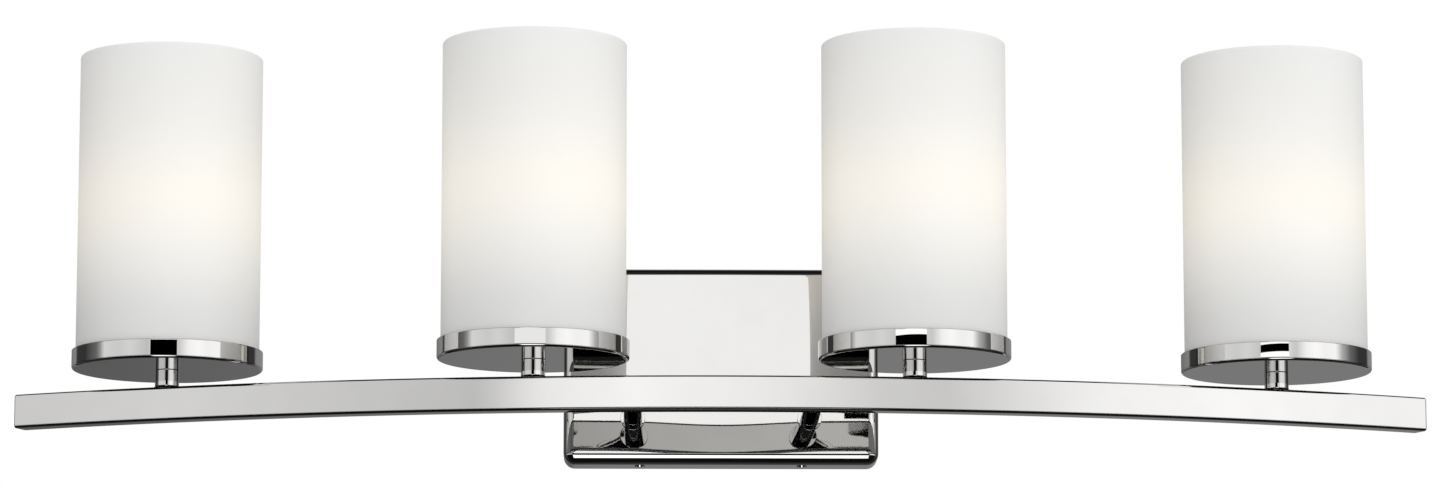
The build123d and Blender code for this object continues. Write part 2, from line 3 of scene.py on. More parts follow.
import bmesh
import bpy
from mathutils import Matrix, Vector


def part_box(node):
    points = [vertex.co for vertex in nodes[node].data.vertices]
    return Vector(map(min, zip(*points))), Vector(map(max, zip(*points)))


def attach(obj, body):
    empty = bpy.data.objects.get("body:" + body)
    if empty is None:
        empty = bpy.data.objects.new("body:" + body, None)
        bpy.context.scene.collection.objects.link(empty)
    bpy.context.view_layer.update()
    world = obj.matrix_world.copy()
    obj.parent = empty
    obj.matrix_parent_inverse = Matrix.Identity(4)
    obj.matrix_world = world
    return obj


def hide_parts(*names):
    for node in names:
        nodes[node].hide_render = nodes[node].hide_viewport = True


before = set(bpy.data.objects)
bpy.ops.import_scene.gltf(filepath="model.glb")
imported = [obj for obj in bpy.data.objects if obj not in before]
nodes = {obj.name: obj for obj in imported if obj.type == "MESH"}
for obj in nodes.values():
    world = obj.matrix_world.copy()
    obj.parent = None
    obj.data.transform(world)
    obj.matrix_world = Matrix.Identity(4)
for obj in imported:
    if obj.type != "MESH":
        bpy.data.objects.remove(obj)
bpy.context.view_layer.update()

# Sizes in metres that the CAD boxes don't give.
BAR_DEPTH = 0.0127
BAR_WALL = 0.0015
BAR_EDGE_R = 0.0016
BAR_INNER_EDGE_R = BAR_EDGE_R / 3
CAP_THICK = 0.0015
CAP_EDGE_R = 0.0012
CAP_FACE_INSET = 1.6 * CAP_EDGE_R
CAP_PLUG_GAP = 0.00015
CAP_PLUG_LENGTH = 0.006

PLATE_CORNER_R = 0.0065
PLATE_SMALLEST_CORNER_R = 0.0006
PLATE_EDGE_R = 0.0060
PLATE_WALL = 0.0012
PLATE_INNER_MARGIN = 0.0005
PLATE_INNER_LIP = 0.0004
PLATE_OUTER_LIP = 0.0002
# The pressed face falls back by PLATE_FALL at its corners, all of it by PLATE_FALL_X from its middle.
PLATE_FALL = 0.0005
PLATE_FALL_X = 0.060

# The arm's front end stops this much short of the CAD's, inside the bar.
ARM_STOPS_SHORT = 0.0030
PLATE_COLLAR_R = 0.0069
BAR_COLLAR_R = 0.0076
COLLAR_THICK = 0.0020
COLLAR_SINK = 0.0010
COLLAR_EDGE_R = 0.0002

POST_R = 0.0067
POST_EDGE_R = 0.0003
PAN_WALL = 0.0012
PAN_EDGE_R = 0.0015
PAN_LIP_R = 0.0004
PAN_FLOOR_MARGIN = 0.0006
PAN_WALL_MARGIN = 0.0003

GLASS_WALL = 0.0034
GLASS_FLOOR = 0.0040
GLASS_EDGE_R = 0.0012
GLASS_HOLE_R = 0.0215

SOCKET_INNER_R = 0.0146
SOCKET_HOLE_R = 0.0075
SOCKET_FLOOR = 0.006
SOCKET_EDGE_R = 0.0008
RING_INNER_R = 0.0192
RING_SKIRT_R = 0.0225
RING_FLANGE_THICK = 0.0022
RING_EDGE_R = 0.0006
RING_KNURLS = 24
RING_KNURL_DEPTH = 0.0008

BASE_INNER_R = 0.0118
BASE_TIP_R = 0.0045
BASE_SHOULDER = 0.0004
BASE_FLOOR = 0.0015
THREAD_FOOT = 0.0012
THREAD_PITCH = 0.0036
THREAD_DEPTH = 0.0007
THREAD_TURNS = 6
NECK_ABOVE_BASE = 0.0030
BULB_NECK_R = 0.0116

CONNECTORS = 3
CONNECTOR_R = 0.005
CONNECTOR_SKIRT = 0.003
CONNECTOR_STEP = 0.0005
CONNECTOR_CROWN = 0.0015
CONNECTOR_RIBS = 12
CONNECTOR_RIB_DEPTH = 0.0002

SOFT_EDGE = 0.00025
SAME_POINT = 1e-7

# How finely the meshes are divided.
ROUND = 96
RIM_ROUND = 224
FILLET_STEPS = 8
SMALL_FILLET_STEPS = 4
BAR_STEPS = 260
PLATE_SIDE_CUTS = 24
PLATE_FACE_RINGS = 12
GLASS_ROWS = 24
THREAD_ROWS = 12 * THREAD_TURNS

LIGHT_NUMBERS = (1, 2, 3, 4)


# ------------------------------------------------------------------ measuring the frame
def middle(node):
    """Centre of a CAD node's box."""
    low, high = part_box(node)
    return (low + high) / 2


def bow_through(a, b, c):
    """Centre and radius of the circle through three points, seen from above."""
    ax, ay, bx, by, cx, cy = a.x, a.y, b.x, b.y, c.x, c.y
    d = 2 * (ax * (by - cy) + bx * (cy - ay) + cx * (ay - by))
    aa, bb, cc = ax * ax + ay * ay, bx * bx + by * by, cx * cx + cy * cy
    x = (aa * (by - cy) + bb * (cy - ay) + cc * (ay - by)) / d
    y = (aa * (cx - bx) + bb * (ax - cx) + cc * (bx - ax)) / d
    return x, y, hypot(ax - x, ay - y)


bow_x, bow_y, bow_radius = bow_through(middle("post_1"), middle("post_2"), middle("post_4"))
bar_low, bar_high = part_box("bar")
tube_angle = asin(bar_high.x / (bow_radius + BAR_DEPTH / 2))
end_angle = tube_angle + CAP_THICK / bow_radius


# ------------------------------------------------------------------ mesh helpers
def finish_mesh(name, bm, sharp=35):
    """Turn a bmesh into a smooth-shaded object with clean normals on its flat faces."""
    bmesh.ops.remove_doubles(bm, verts=bm.verts, dist=SAME_POINT)
    bmesh.ops.recalc_face_normals(bm, faces=bm.faces)
    mesh = bpy.data.meshes.new(name)
    bm.to_mesh(mesh)
    bm.free()
    for polygon in mesh.polygons:
        polygon.use_smooth = True
    mesh.set_sharp_from_angle(angle=radians(sharp))
    piece = bpy.data.objects.new(name, mesh)
    bpy.context.scene.collection.objects.link(piece)
    weighted = piece.modifiers.new("flat_normals", "WEIGHTED_NORMAL")
    weighted.keep_sharp = True
    weighted.weight = 80
    return piece


def arc(centre, radius, start, finish, steps=FILLET_STEPS):
    """Points along an arc in a profile, angles in degrees."""
    points = []
    for i in range(steps + 1):
        turn = radians(start + (finish - start) * i / steps)
        points.append((centre[0] + radius * cos(turn), centre[1] + radius * sin(turn)))
    return points


def lathe_into(bm, profile, origin, axis="Z", steps=ROUND, swell=None):
    """Turn a closed profile of (radius, height) around an axis through origin.

    swell(turn, radius, height) may change the radius around the piece, for knurls, ribs and threads.
    """
    rings = []
    for i in range(steps):
        turn = 2 * pi * i / steps
        ring = []
        for radius, height in profile:
            r = radius + (swell(turn, radius, height) if swell else 0)
            if axis == "Z":
                place = (origin[0] + r * cos(turn), origin[1] + r * sin(turn), height)
            else:
                place = (origin[0] + r * cos(turn), height, origin[2] + r * sin(turn))
            ring.append(bm.verts.new(place))
        rings.append(ring)
    count = len(profile)
    for i in range(steps):
        here, there = rings[i], rings[(i + 1) % steps]
        for j in range(count):
            k = (j + 1) % count
            quad = [here[j], there[j], there[k], here[k]]
            starts_on_axis, ends_on_axis = profile[j][0] == 0, profile[k][0] == 0
            if starts_on_axis and ends_on_axis:
                continue
            if starts_on_axis:
                quad = [here[j], there[k], here[k]]
            elif ends_on_axis:
                quad = [here[j], there[j], here[k]]
            bm.faces.new(quad)


def lathe(name, profile, origin, axis="Z", steps=ROUND, swell=None, sharp=35):
    """One turned piece."""
    bm = bmesh.new()
    lathe_into(bm, profile, origin, axis, steps, swell)
    return finish_mesh(name, bm, sharp)


def rounded_rectangle(width, height, radius):
    """Loop of points around a rectangle with round corners, centred on zero."""
    loop = []
    corners = ((1, 1, 0), (-1, 1, 90), (-1, -1, 180), (1, -1, 270))
    for side, up, start in corners:
        centre = (side * (width / 2 - radius), up * (height / 2 - radius))
        loop += arc(centre, radius, start, start + 90)
    return loop


def bridge(bm, loops):
    """Quads between loops of the same length."""
    for here, there in zip(loops, loops[1:]):
        count = len(here)
        for j in range(count):
            k = (j + 1) % count
            bm.faces.new([here[j], here[k], there[k], there[j]])


def place_on_bow(angle, radial, height):
    """A point near the bar's bowed line."""
    radius = bow_radius + radial
    return Vector((bow_x + radius * sin(angle), bow_y - radius * cos(angle), height))


def keep(piece, body, material, replaced):
    """Give a finished piece its material and its body, and hide the CAD node it stands for."""
    piece.data.materials.append(material)
    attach(piece, body)
    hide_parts(replaced)


# ------------------------------------------------------------------ materials
RELIEF_SCALE = 600


def new_material(name):
    """An empty node material with its principled shader."""
    material = bpy.data.materials.new(name)
    material.use_nodes = True
    tree = material.node_tree
    shader = tree.nodes["Principled BSDF"]
    return material, tree, shader


def object_noise(tree, scale, stretch=(1, 1, 1)):
    """Noise in the object's own space, in metres."""
    coords = tree.nodes.new("ShaderNodeTexCoord")
    mapping = tree.nodes.new("ShaderNodeMapping")
    mapping.inputs["Scale"].default_value = stretch
    noise = tree.nodes.new("ShaderNodeTexNoise")
    noise.inputs["Scale"].default_value = scale
    noise.inputs["Detail"].default_value = 3.0
    tree.links.new(coords.outputs["Object"], mapping.inputs["Vector"])
    tree.links.new(mapping.outputs["Vector"], noise.inputs["Vector"])
    return noise


def spread(tree, source, low, high):
    """Map a 0 to 1 value onto a range."""
    node = tree.nodes.new("ShaderNodeMapRange")
    node.inputs["To Min"].default_value = low
    node.inputs["To Max"].default_value = high
    tree.links.new(source, node.inputs["Value"])
    return node.outputs["Result"]


def colour_ramp(tree, source, stops, interpolation="LINEAR"):
    """A ramp through (position, colour) stops, by a 0 to 1 value."""
    ramp = tree.nodes.new("ShaderNodeValToRGB")
    ramp.color_ramp.interpolation = interpolation
    elements = ramp.color_ramp.elements
    elements.remove(elements[1])
    elements[0].position, elements[0].color = stops[0][0], (*stops[0][1], 1)
    for position, colour in stops[1:]:
        elements.new(position).color = (*colour, 1)
    tree.links.new(source, ramp.inputs["Fac"])
    return ramp.outputs["Color"]


def two_tone(tree, source, dark, light):
    """Blend between two colours by a 0 to 1 value."""
    return colour_ramp(tree, source, ((0.3, dark), (0.7, light)))


def add_bump(tree, shader, source, strength, distance):
    """Small relief from a 0 to 1 value."""
    bump = tree.nodes.new("ShaderNodeBump")
    bump.inputs["Strength"].default_value = strength
    bump.inputs["Distance"].default_value = distance
    tree.links.new(source, bump.inputs["Height"])
    tree.links.new(bump.outputs["Normal"], shader.inputs["Normal"])


def surface(name, dark, light, rough, metallic=0.0, grain=200, stretch=(1, 1, 1), relief=0.0, coat=0.0):
    """A procedural surface: slight colour variation, uneven gloss and fine relief."""
    material, tree, shader = new_material(name)
    shader.inputs["Metallic"].default_value = metallic
    shader.inputs["Coat Weight"].default_value = coat
    noise = object_noise(tree, grain, stretch=stretch)
    tree.links.new(two_tone(tree, noise.outputs["Fac"], dark, light), shader.inputs["Base Color"])
    tree.links.new(spread(tree, noise.outputs["Fac"], *rough), shader.inputs["Roughness"])
    if relief:
        fine = object_noise(tree, RELIEF_SCALE, stretch=stretch)
        add_bump(tree, shader, fine.outputs["Fac"], 1.0, relief)
    return material


chrome = surface("chrome", (0.663, 0.658, 0.650), (0.680, 0.675, 0.667), (0.008, 0.03), metallic=1.0,
                 grain=60)
zinc = surface("zinc_steel", (0.50, 0.50, 0.48), (0.66, 0.67, 0.68), (0.28, 0.5), metallic=1.0,
               grain=90, stretch=(1, 1, 6), relief=0.00004)
green_steel = surface("green_steel", (0.02, 0.22, 0.07), (0.05, 0.34, 0.12), (0.3, 0.45),
                      metallic=0.5, grain=300)
nickel = surface("nickel", (0.60, 0.58, 0.54), (0.74, 0.73, 0.70), (0.18, 0.32), metallic=1.0)
brass = surface("brass", (0.66, 0.47, 0.2), (0.8, 0.62, 0.3), (0.2, 0.35), metallic=1.0)
holder = surface("holder_body", (0.78, 0.77, 0.73), (0.86, 0.85, 0.82), (0.2, 0.35), grain=120,
                 coat=0.2)
ring_plastic = surface("ring_plastic", (0.76, 0.75, 0.71), (0.84, 0.83, 0.79), (0.4, 0.55),
                       grain=160, relief=0.00003)
silicone = surface("gasket", (0.66, 0.66, 0.65), (0.76, 0.76, 0.75), (0.45, 0.6), grain=150)
black_wire = surface("lead_black", (0.012, 0.012, 0.012), (0.03, 0.03, 0.03), (0.35, 0.5))
white_wire = surface("lead_white", (0.74, 0.74, 0.71), (0.84, 0.84, 0.82), (0.35, 0.5))
green_wire = surface("ground_green", (0.02, 0.26, 0.08), (0.05, 0.38, 0.13), (0.35, 0.5))
orange_plastic = surface("connector", (0.72, 0.24, 0.02), (0.85, 0.33, 0.05), (0.4, 0.55),
                         relief=0.00003)


def height_share(tree, low_z, high_z):
    """0 at one height in the object's own space, 1 at another."""
    coords = tree.nodes.new("ShaderNodeTexCoord")
    split = tree.nodes.new("ShaderNodeSeparateXYZ")
    tree.links.new(coords.outputs["Object"], split.inputs["Vector"])
    share = tree.nodes.new("ShaderNodeMapRange")
    share.inputs["From Min"].default_value = low_z
    share.inputs["From Max"].default_value = high_z
    tree.links.new(split.outputs["Z"], share.inputs["Value"])
    return share.outputs["Result"]


# Glow painted onto the glass as emission, standing in for the lamp's light that comes through it, by
# height from its foot (0) to its rim (1).
PAINTED_GLOW = (
    (0.00, (0.000, 0.000, 0.000)),
    (0.16, (0.045, 0.043, 0.039)),
    (0.30, (0.175, 0.166, 0.138)),
    (0.42, (0.262, 0.234, 0.178)),
    (0.51, (0.292, 0.256, 0.188)),
    (0.60, (0.262, 0.233, 0.174)),
    (0.76, (0.172, 0.162, 0.138)),
    (1.00, (0.125, 0.125, 0.118)),
)


def make_opal(low_z, high_z):
    """White opal glass with an etched skin and a glow painted on by height, brightest around the lamp
    inside it.
    """
    material, tree, shader = new_material("opal_glass")
    noise = object_noise(tree, 25)
    colour = two_tone(tree, noise.outputs["Fac"], (0.855, 0.855, 0.85), (0.87, 0.87, 0.866))
    tree.links.new(colour, shader.inputs["Base Color"])
    fine = object_noise(tree, 900)
    tree.links.new(spread(tree, fine.outputs["Fac"], 0.42, 0.55), shader.inputs["Roughness"])
    add_bump(tree, shader, fine.outputs["Fac"], 0.3, 0.00002)
    # Painted glow: emission by height on the glass stands in for the lamp's light coming through it.
    light = colour_ramp(tree, height_share(tree, low_z, high_z), PAINTED_GLOW, "B_SPLINE")
    tree.links.new(light, shader.inputs["Emission Color"])
    shader.inputs["Emission Strength"].default_value = 1.0
    return material


def make_bulb_glass():
    """Soft white bulb, lit."""
    material, tree, shader = new_material("lamp_glass")
    noise = object_noise(tree, 40)
    colour = two_tone(tree, noise.outputs["Fac"], (0.93, 0.90, 0.84), (0.97, 0.95, 0.90))
    tree.links.new(colour, shader.inputs["Base Color"])
    shader.inputs["Roughness"].default_value = 0.35
    shader.inputs["Emission Color"].default_value = (1.0, 0.86, 0.66, 1)
    tree.links.new(spread(tree, noise.outputs["Fac"], 0.40, 0.50), shader.inputs["Emission Strength"])
    return material


glass_low, glass_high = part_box("glass_shade_1")
opal = make_opal(glass_low.z, glass_high.z)
bulb_glass = make_bulb_glass()


# ------------------------------------------------------------------ bar and its end caps
def bar_section(inset, radius):
    """The bar's rounded rectangle as (radial, height) offsets from its centre line."""
    height = bar_high.z - bar_low.z
    return rounded_rectangle(BAR_DEPTH - 2 * inset, height - 2 * inset, radius)


def sweep_section(bm, section, angles):
    """Place one section at each angle along the bow."""
    centre_z = (bar_low.z + bar_high.z) / 2
    loops = []
    for angle in angles:
        places = [place_on_bow(angle, radial, centre_z + up) for radial, up in section]
        loops.append([bm.verts.new(place) for place in places])
    return loops


def make_bar():
    """The bowed tube, hollow, with both skins."""
    bm = bmesh.new()
    angles = [-tube_angle + 2 * tube_angle * i / BAR_STEPS for i in range(BAR_STEPS + 1)]
    outer = sweep_section(bm, bar_section(0, BAR_EDGE_R), angles)
    inner = sweep_section(bm, bar_section(BAR_WALL, BAR_INNER_EDGE_R), angles)
    bridge(bm, outer)
    bridge(bm, inner)
    bridge(bm, [outer[0], inner[0]])
    bridge(bm, [outer[-1], inner[-1]])
    keep(finish_mesh("bar_tube", bm), "fixture", chrome, "bar")


def make_end_cap(name, side):
    """Flat lid on one end of the bar, with a softened edge and a short plug."""
    bm = bmesh.new()
    plug = bar_section(BAR_WALL + CAP_PLUG_GAP, BAR_INNER_EDGE_R)
    rim = bar_section(0, BAR_EDGE_R)
    plug_end = tube_angle - CAP_PLUG_LENGTH / bow_radius
    loops = sweep_section(bm, plug, [side * plug_end, side * tube_angle])
    loops += sweep_section(bm, rim, [side * tube_angle])
    for depth, inward in arc((0, 0), CAP_EDGE_R, 0, 90):
        angle = end_angle - (CAP_EDGE_R - inward) / bow_radius
        section = bar_section(CAP_EDGE_R - depth, BAR_EDGE_R - CAP_EDGE_R + depth)
        loops += sweep_section(bm, section, [side * angle])
    face = bar_section(CAP_FACE_INSET, BAR_EDGE_R - CAP_EDGE_R)
    loops += sweep_section(bm, face, [side * end_angle])
    bridge(bm, loops)
    bm.faces.new(loops[0])
    bm.faces.new(loops[-1])
    keep(finish_mesh(name + "_lid", bm), "fixture", chrome, name)


make_bar()
make_end_cap("bar_end_cap_left", -1)
make_end_cap("bar_end_cap_right", 1)


# ------------------------------------------------------------------ backplate
def divide_sides(loop, per_corner, cuts):
    """Put points along the straight sides of a rounded rectangle's loop."""
    divided = []
    for i, (x, z) in enumerate(loop):
        divided.append((x, z))
        if (i + 1) % per_corner == 0:
            next_x, next_z = loop[(i + 1) % len(loop)]
            for cut in range(1, cuts):
                share = cut / cuts
                divided.append((x + (next_x - x) * share, z + (next_z - z) * share))
    return divided


def plate_loop(bm, depth, inset):
    """One loop of the backplate's rounded outline, at a depth in front of the wall.

    The pressed face falls back a little towards its four corners.
    """
    low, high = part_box("backplate")
    width, height = high.x - low.x, high.z - low.z
    radius = max(PLATE_CORNER_R - inset, PLATE_SMALLEST_CORNER_R)
    loop = rounded_rectangle(width - 2 * inset, height - 2 * inset, radius)
    centre = (low + high) / 2
    points = []
    for x, z in divide_sides(loop, FILLET_STEPS + 1, PLATE_SIDE_CUTS):
        aside = (1 - cos(pi * min(abs(x) / PLATE_FALL_X, 1))) / 2
        fall = PLATE_FALL * aside * (2 * z / height) ** 2 * depth / (high.y - low.y)
        points.append(bm.verts.new((centre.x + x, fall - depth, centre.z + z)))
    return points


def make_backplate():
    """A pressed pan with a wall thickness, its face edge rounded over."""
    bm = bmesh.new()
    low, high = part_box("backplate")
    depth = high.y - low.y
    half_height = (high.z - low.z) / 2
    inner_r = PLATE_EDGE_R - PLATE_WALL
    loops = [plate_loop(bm, depth - PLATE_WALL, PLATE_EDGE_R + PLATE_INNER_MARGIN)]
    for inset, forward in reversed(arc((0, 0), inner_r, 0, 90)):
        loops.append(plate_loop(bm, depth - PLATE_EDGE_R + forward, PLATE_EDGE_R - inset))
    loops.append(plate_loop(bm, PLATE_INNER_LIP, PLATE_WALL))
    loops.append(plate_loop(bm, 0, PLATE_WALL - PLATE_INNER_LIP))
    loops.append(plate_loop(bm, 0, PLATE_OUTER_LIP))
    loops.append(plate_loop(bm, PLATE_OUTER_LIP, 0))
    for inset, forward in arc((0, 0), PLATE_EDGE_R, 0, 90, 2 * FILLET_STEPS):
        loops.append(plate_loop(bm, depth - PLATE_EDGE_R + forward, PLATE_EDGE_R - inset))
    for ring in range(1, PLATE_FACE_RINGS + 1):
        inset = PLATE_EDGE_R + (half_height - PLATE_EDGE_R) * ring / (PLATE_FACE_RINGS + 1)
        loops.append(plate_loop(bm, depth, inset))
    bridge(bm, loops)
    bm.faces.new(loops[0])
    bm.faces.new(loops[-1])
    keep(finish_mesh("backplate_shell", bm), "fixture", chrome, "backplate")


make_backplate()


# ------------------------------------------------------------------ arms and their collars
def make_arm(name):
    """A round arm from the backplate into the back of the bar."""
    low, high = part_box(name)
    centre = (low + high) / 2
    radius = (high.x - low.x) / 2
    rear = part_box("backplate")[0].y
    front = low.y + ARM_STOPS_SHORT
    profile = [(0, rear), (radius, rear), (radius, front), (0, front)]
    piece = lathe(name + "_tube", profile, centre, axis="Y")
    keep(piece, "fixture", chrome, name)


def make_collars():
    """Rings where the arms meet the backplate and the back of the bar."""
    bm = bmesh.new()
    arm_low, arm_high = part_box("arm_right")
    bore = (arm_high.x - arm_low.x) / 2
    arm_x = (arm_high.x + arm_low.x) / 2
    plate_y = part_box("backplate")[0].y
    bar_y = place_on_bow(asin(arm_x / bow_radius), -BAR_DEPTH / 2, 0).y
    for name in ("arm_left", "arm_right"):
        for outer, root, tip in ((PLATE_COLLAR_R, plate_y, plate_y - COLLAR_THICK),
                                 (BAR_COLLAR_R, bar_y - COLLAR_SINK, bar_y + COLLAR_THICK)):
            out = 1 if tip > root else -1
            profile = [(bore, root), (outer, root)]
            for r, rise in arc((outer - COLLAR_EDGE_R, -COLLAR_EDGE_R), COLLAR_EDGE_R, 0, 90, steps=5):
                profile.append((r, tip + out * rise))
            profile.append((bore, tip))
            lathe_into(bm, profile, middle(name), axis="Y")
    keep(finish_mesh("arm_collar_rings", bm), "fixture", chrome, "arm_collars")


make_arm("arm_left")
make_arm("arm_right")
make_collars()


# ------------------------------------------------------------------ one light
def make_post(number):
    """Round post from the bar to the pan, spreading a little at its foot."""
    name = f"post_{number}"
    low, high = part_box(name)
    foot = (high.x - low.x) / 2
    flare = foot - POST_R
    profile = [(0, low.z), (foot, low.z)]
    profile += arc((foot, low.z + flare), flare, 270, 180, steps=6)[1:]
    profile += arc((POST_R - POST_EDGE_R, high.z - POST_EDGE_R), POST_EDGE_R, 0, 90, SMALL_FILLET_STEPS)
    profile.append((0, high.z))
    piece = lathe(name + "_turned", profile, middle(name))
    keep(piece, "fixture", chrome, name)


def make_pan(number):
    """Shallow round pan with a rolled lip."""
    name = f"pan_{number}"
    low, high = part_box(name)
    radius = (high.x - low.x) / 2
    inner = radius - PAN_WALL
    lip_z = high.z - PAN_LIP_R
    profile = [(0, low.z), (radius - PAN_EDGE_R - PAN_FLOOR_MARGIN, low.z)]
    profile += arc((radius - PAN_EDGE_R, low.z + PAN_EDGE_R), PAN_EDGE_R, 270, 360)
    profile += [(radius, low.z + PAN_EDGE_R + PAN_WALL_MARGIN), (radius, lip_z - PAN_WALL_MARGIN)]
    profile += arc((radius - PAN_LIP_R, lip_z), PAN_LIP_R, 0, 90, SMALL_FILLET_STEPS)
    profile += arc((inner + PAN_LIP_R, lip_z), PAN_LIP_R, 90, 180, SMALL_FILLET_STEPS)
    profile += [(inner, lip_z - PAN_WALL_MARGIN), (inner, low.z + PAN_WALL), (0, low.z + PAN_WALL)]
    piece = lathe(name + "_cup", profile, middle(name), steps=RIM_ROUND)
    keep(piece, "fixture", chrome, name)


def make_shade(number):
    """Straight opal cylinder, open at the top, with a hole in its floor."""
    name = f"glass_shade_{number}"
    low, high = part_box(name)
    radius = (high.x - low.x) / 2
    inner = radius - GLASS_WALL
    edge = GLASS_EDGE_R
    profile = [(GLASS_HOLE_R, low.z)]
    profile += arc((radius - edge, low.z + edge), edge, 270, 360, steps=5)
    for i in range(1, GLASS_ROWS):
        profile.append((radius, low.z + edge + (high.z - low.z - 2 * edge) * i / GLASS_ROWS))
    profile += arc((radius - edge, high.z - edge), edge, 0, 90, steps=5)
    profile += arc((inner + edge, high.z - edge), edge, 90, 180, steps=5)
    profile += [(inner, low.z + GLASS_FLOOR), (GLASS_HOLE_R, low.z + GLASS_FLOOR)]
    piece = lathe(name + "_opal", profile, middle(name), steps=RIM_ROUND)
    keep(piece, f"shade_{number}", opal, name)


def make_socket(number):
    """Moulded lamp holder, a deep cup."""
    name = f"socket_{number}"
    low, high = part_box(name)
    radius = (high.x - low.x) / 2
    edge = SOCKET_EDGE_R
    floor_z = low.z + SOCKET_FLOOR
    profile = [(SOCKET_HOLE_R, low.z), (radius, low.z)]
    profile += arc((radius - edge, high.z - edge), edge, 0, 90, SMALL_FILLET_STEPS)
    profile += arc((SOCKET_INNER_R + edge, high.z - edge), edge, 90, 180, SMALL_FILLET_STEPS)
    profile += [(SOCKET_INNER_R, floor_z), (SOCKET_HOLE_R, floor_z)]
    piece = lathe(name + "_holder", profile, middle(name))
    keep(piece, "fixture", holder, name)


def make_socket_ring(number):
    """Clamping ring: a flange under a skirt with finger grooves."""
    name = f"socket_ring_{number}"
    low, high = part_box(name)
    flange = (high.x - low.x) / 2
    edge = RING_EDGE_R
    profile = [(RING_INNER_R, low.z), (flange - edge, low.z)]
    profile += arc((flange - edge, low.z + RING_FLANGE_THICK - edge), edge, 0, 90, steps=3)
    profile += [(RING_SKIRT_R, low.z + RING_FLANGE_THICK), (RING_SKIRT_R, high.z - edge)]
    profile += [(RING_SKIRT_R - edge, high.z), (RING_INNER_R, high.z)]

    def knurl(turn, r, z):
        on_skirt = RING_INNER_R < r <= RING_SKIRT_R
        groove = max(0.0, cos(RING_KNURLS * turn)) ** 4
        return -RING_KNURL_DEPTH * groove if on_skirt else 0

    piece = lathe(name + "_knurled", profile, middle(name), steps=RING_KNURLS * 10, swell=knurl)
    keep(piece, f"ring_{number}", ring_plastic, name)


def make_lamp_base(number):
    """Rolled screw base with a helical thread and a tip."""
    name = f"lamp_base_{number}"
    low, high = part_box(name)
    crest = (high.x - low.x) / 2
    root = crest - THREAD_DEPTH
    start = low.z + THREAD_FOOT
    floor_z = start + BASE_FLOOR
    length = THREAD_TURNS * THREAD_PITCH
    profile = [(0, low.z), (BASE_TIP_R, low.z), (root - BASE_SHOULDER, start)]
    for i in range(THREAD_ROWS + 1):
        profile.append((root, start + length * i / THREAD_ROWS))
    profile += [(root, high.z), (BASE_INNER_R, high.z), (BASE_INNER_R, floor_z), (0, floor_z)]

    def thread(turn, r, z):
        if abs(r - root) > SAME_POINT:
            return 0
        share = (z - start) / length
        fade = min(1.0, 8 * share, 8 * (1 - share)) if 0 <= share <= 1 else 0
        phase = (z - start) / THREAD_PITCH - turn / (2 * pi)
        return THREAD_DEPTH * fade * (0.5 - 0.5 * cos(2 * pi * phase))

    piece = lathe(name + "_screw", profile, middle(name), steps=72, swell=thread, sharp=60)
    keep(piece, f"lamp_{number}", nickel, name)


def make_bulb(number):
    """The lamp's glass: a ball that narrows to its neck."""
    name = f"lamp_glass_{number}"
    low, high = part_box(name)
    ball = (high.x - low.x) / 2
    centre = high.z - ball
    neck_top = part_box(f"lamp_base_{number}")[1].z + NECK_ABOVE_BASE
    rise = centre - neck_top
    hollow = (BULB_NECK_R**2 + rise**2 - ball**2) / (2 * (ball - BULB_NECK_R))
    lean = degrees(atan2(rise, BULB_NECK_R + hollow))
    profile = [(0, low.z), (BULB_NECK_R, low.z), (BULB_NECK_R, neck_top)]
    profile += arc((BULB_NECK_R + hollow, neck_top), hollow, 180, 180 - lean, steps=14)[1:]
    profile += arc((0, centre), ball, -lean, 90, steps=28)[1:-1]
    profile.append((0, high.z))
    piece = lathe(name + "_bulb", profile, middle(name), sharp=60)
    keep(piece, f"lamp_{number}", bulb_glass, name)


for number in LIGHT_NUMBERS:
    make_post(number)
    make_pan(number)
    make_shade(number)
    make_socket(number)
    make_socket_ring(number)
    make_lamp_base(number)
    make_bulb(number)


# ------------------------------------------------------------------ wire connectors
def make_connectors():
    """Ribbed twist-on caps in the backplate's hollow."""
    bm = bmesh.new()
    low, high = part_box("wire_connectors")
    radius = CONNECTOR_R
    spacing = (high.x - low.x - 2 * radius) / (CONNECTORS - 1)
    skirt_z = low.z + CONNECTOR_SKIRT
    profile = [
        (0, low.z), (radius, low.z), (radius, skirt_z), (0.9 * radius, skirt_z + CONNECTOR_STEP),
        (0.76 * radius, high.z - CONNECTOR_CROWN), (0.6 * radius, high.z), (0, high.z),
    ]

    def rib(turn, r, z):
        on_cone = skirt_z < z < high.z
        return CONNECTOR_RIB_DEPTH * cos(CONNECTOR_RIBS * turn) if on_cone else 0

    for i in range(CONNECTORS):
        x = low.x + radius + i * spacing
        y = high.y - radius if i % 2 == 0 else low.y + radius
        lathe_into(bm, profile, (x, y, 0), steps=CONNECTOR_RIBS * 8, swell=rib)
    piece = finish_mesh("wire_connector_caps", bm)
    keep(piece, "fixture", orange_plastic, "wire_connectors")


make_connectors()


# ------------------------------------------------------------------ CAD nodes that stay as they are
KEPT_NODES = {
    "wall_strap": zinc,
    "cover_screws": chrome,
    "ground_screw": green_steel,
    "arm_washers": zinc,
    "arm_nuts": zinc,
    "nipples": zinc,
    "pan_nuts": zinc,
    "centre_contacts": brass,
    "lead_black": black_wire,
    "lead_white": white_wire,
    "ground_wire": green_wire,
}
for number in LIGHT_NUMBERS:
    KEPT_NODES[f"screw_shell_{number}"] = nickel
    KEPT_NODES[f"gasket_{number}"] = silicone
BEVELLED = ("wall_strap", "arm_nuts", "arm_washers", "cover_screws", "ground_screw")


def dress_kept_node(name, material):
    """Give a CAD node that stays its material, smooth shading and, on stamped metal, softer edges."""
    node = nodes[name]
    node.data.materials.clear()
    node.data.materials.append(material)
    for polygon in node.data.polygons:
        polygon.use_smooth = True
    node.data.set_sharp_from_angle(angle=radians(30))
    if name in BEVELLED:
        bevel = node.modifiers.new("soft_edges", "BEVEL")
        bevel.width = SOFT_EDGE
        bevel.segments = 2
        bevel.limit_method = "ANGLE"


for name, material in KEPT_NODES.items():
    dress_kept_node(name, material)


